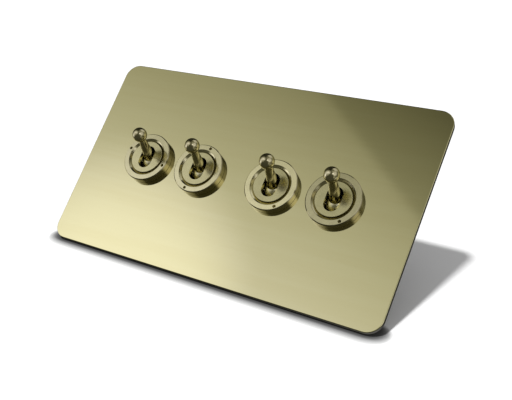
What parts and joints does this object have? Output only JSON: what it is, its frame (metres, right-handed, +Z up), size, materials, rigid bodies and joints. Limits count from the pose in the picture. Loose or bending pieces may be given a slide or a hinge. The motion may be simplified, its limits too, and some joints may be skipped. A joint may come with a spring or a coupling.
{
  "type": "toggle wall switch",
  "caption": "Row of ball-ended toggle levers in round nuts on a flat rectangular brass wall plate, each tipping a two-way contact behind it.",
  "frame": {"origin": "centre of the wall plane, on the rear face of the gasket", "axes": "+X to the right seen from the room, +Y into the wall, +Z up"},
  "size_m": [0.148, 0.0437, 0.086],
  "materials": {
    "plate_brass": "satin, long-grain polished",
    "ring_brass": "satin turned face, polished wall",
    "bush_brass": "satin turned",
    "lever_brass": "polished",
    "terminal_brass": "bright machined",
    "terminal_screw": "machined",
    "rocker_bronze": "rolled sheet",
    "contact_silver": "polished silver alloy",
    "gasket_black": "matte",
    "frame_zinc": "zinc-plated sheet",
    "screw_zinc": "zinc-plated",
    "pin_steel": "ground",
    "spring_steel": "drawn wire",
    "plunger_nylon": "smooth",
    "housing_black": "moulded phenolic",
    "base_black": "moulded phenolic"
  },
  "bodies": {
    "plate_assembly": {"front_plate": "plate_brass", "plate_gasket": "gasket_black", "support_frame": "frame_zinc", "fixing_screws": "screw_zinc", "module_screws": "screw_zinc", "terminal_screws": "terminal_screw", "fixed_contacts": "contact_silver", "earth_terminal": "terminal_brass", "bezel_ring_1": "ring_brass", "bush_1": "bush_brass", "pivot_pin_1": "pin_steel", "rocker_pin_1": "pin_steel", "com_terminal_1": "terminal_brass", "way_terminals_1": "terminal_brass", "housing_1": "housing_black", "terminal_base_1": "base_black", "bezel_ring_2": "ring_brass", "bush_2": "bush_brass", "pivot_pin_2": "pin_steel", "rocker_pin_2": "pin_steel", "com_terminal_2": "terminal_brass", "way_terminals_2": "terminal_brass", "housing_2": "housing_black", "terminal_base_2": "base_black", "bezel_ring_3": "ring_brass", "bush_3": "bush_brass", "pivot_pin_3": "pin_steel", "rocker_pin_3": "pin_steel", "com_terminal_3": "terminal_brass", "way_terminals_3": "terminal_brass", "housing_3": "housing_black", "terminal_base_3": "base_black", "bezel_ring_4": "ring_brass", "bush_4": "bush_brass", "pivot_pin_4": "pin_steel", "rocker_pin_4": "pin_steel", "com_terminal_4": "terminal_brass", "way_terminals_4": "terminal_brass", "housing_4": "housing_black", "terminal_base_4": "base_black"},
    "lever_1": {"lever_1": "lever_brass", "spring_1": "spring_steel"},
    "plunger_1": {"plunger_1": "plunger_nylon"},
    "rocker_1": {"rocker_1": "rocker_bronze", "moving_contacts_1": "contact_silver"},
    "lever_2": {"lever_2": "lever_brass", "spring_2": "spring_steel"},
    "plunger_2": {"plunger_2": "plunger_nylon"},
    "rocker_2": {"rocker_2": "rocker_bronze", "moving_contacts_2": "contact_silver"},
    "lever_3": {"lever_3": "lever_brass", "spring_3": "spring_steel"},
    "plunger_3": {"plunger_3": "plunger_nylon"},
    "rocker_3": {"rocker_3": "rocker_bronze", "moving_contacts_3": "contact_silver"},
    "lever_4": {"lever_4": "lever_brass", "spring_4": "spring_steel"},
    "plunger_4": {"plunger_4": "plunger_nylon"},
    "rocker_4": {"rocker_4": "rocker_bronze", "moving_contacts_4": "contact_silver"}
  },
  "joints": [
    {"name": "lever_hinge_1", "type": "hinge", "parent": "plate_assembly", "child": "lever_1", "pos_m": [-0.0424, 0, 0], "axis": [1, 0, 0], "range_deg": [0, 34]},
    {"name": "rocker_hinge_1", "type": "hinge", "parent": "plate_assembly", "child": "rocker_1", "pos_m": [-0.0424, 0.013, 0], "axis": [1, 0, 0], "range_deg": [-16, 0]},
    {"name": "plunger_slide_1", "type": "slide", "parent": "lever_1", "child": "plunger_1", "axis": [0, -0.9563, 0.2924], "range_m": [0, 0.001], "stiffness_N_per_m": 600, "springref_m": -0.002, "deforming": ["spring_1"]},
    {"name": "lever_hinge_2", "type": "hinge", "parent": "plate_assembly", "child": "lever_2", "pos_m": [-0.0166, 0, 0], "axis": [1, 0, 0], "range_deg": [0, 34]},
    {"name": "rocker_hinge_2", "type": "hinge", "parent": "plate_assembly", "child": "rocker_2", "pos_m": [-0.0166, 0.013, 0], "axis": [1, 0, 0], "range_deg": [-16, 0]},
    {"name": "plunger_slide_2", "type": "slide", "parent": "lever_2", "child": "plunger_2", "axis": [0, -0.9563, 0.2924], "range_m": [0, 0.001], "stiffness_N_per_m": 600, "springref_m": -0.002, "deforming": ["spring_2"]},
    {"name": "lever_hinge_3", "type": "hinge", "parent": "plate_assembly", "child": "lever_3", "pos_m": [0.0166, 0, 0], "axis": [1, 0, 0], "range_deg": [0, 34]},
    {"name": "rocker_hinge_3", "type": "hinge", "parent": "plate_assembly", "child": "rocker_3", "pos_m": [0.0166, 0.013, 0], "axis": [1, 0, 0], "range_deg": [-16, 0]},
    {"name": "plunger_slide_3", "type": "slide", "parent": "lever_3", "child": "plunger_3", "axis": [0, -0.9563, 0.2924], "range_m": [0, 0.001], "stiffness_N_per_m": 600, "springref_m": -0.002, "deforming": ["spring_3"]},
    {"name": "lever_hinge_4", "type": "hinge", "parent": "plate_assembly", "child": "lever_4", "pos_m": [0.0424, 0, 0], "axis": [1, 0, 0], "range_deg": [0, 34]},
    {"name": "rocker_hinge_4", "type": "hinge", "parent": "plate_assembly", "child": "rocker_4", "pos_m": [0.0424, 0.013, 0], "axis": [1, 0, 0], "range_deg": [-16, 0]},
    {"name": "plunger_slide_4", "type": "slide", "parent": "lever_4", "child": "plunger_4", "axis": [0, -0.9563, 0.2924], "range_m": [0, 0.001], "stiffness_N_per_m": 600, "springref_m": -0.002, "deforming": ["spring_4"]}
  ],
  "couplings": [
    {"joint": "rocker_hinge_1", "follows": "lever_hinge_1", "ratio": -0.47},
    {"joint": "rocker_hinge_2", "follows": "lever_hinge_2", "ratio": -0.47},
    {"joint": "rocker_hinge_3", "follows": "lever_hinge_3", "ratio": -0.47},
    {"joint": "rocker_hinge_4", "follows": "lever_hinge_4", "ratio": -0.47}
  ]
}
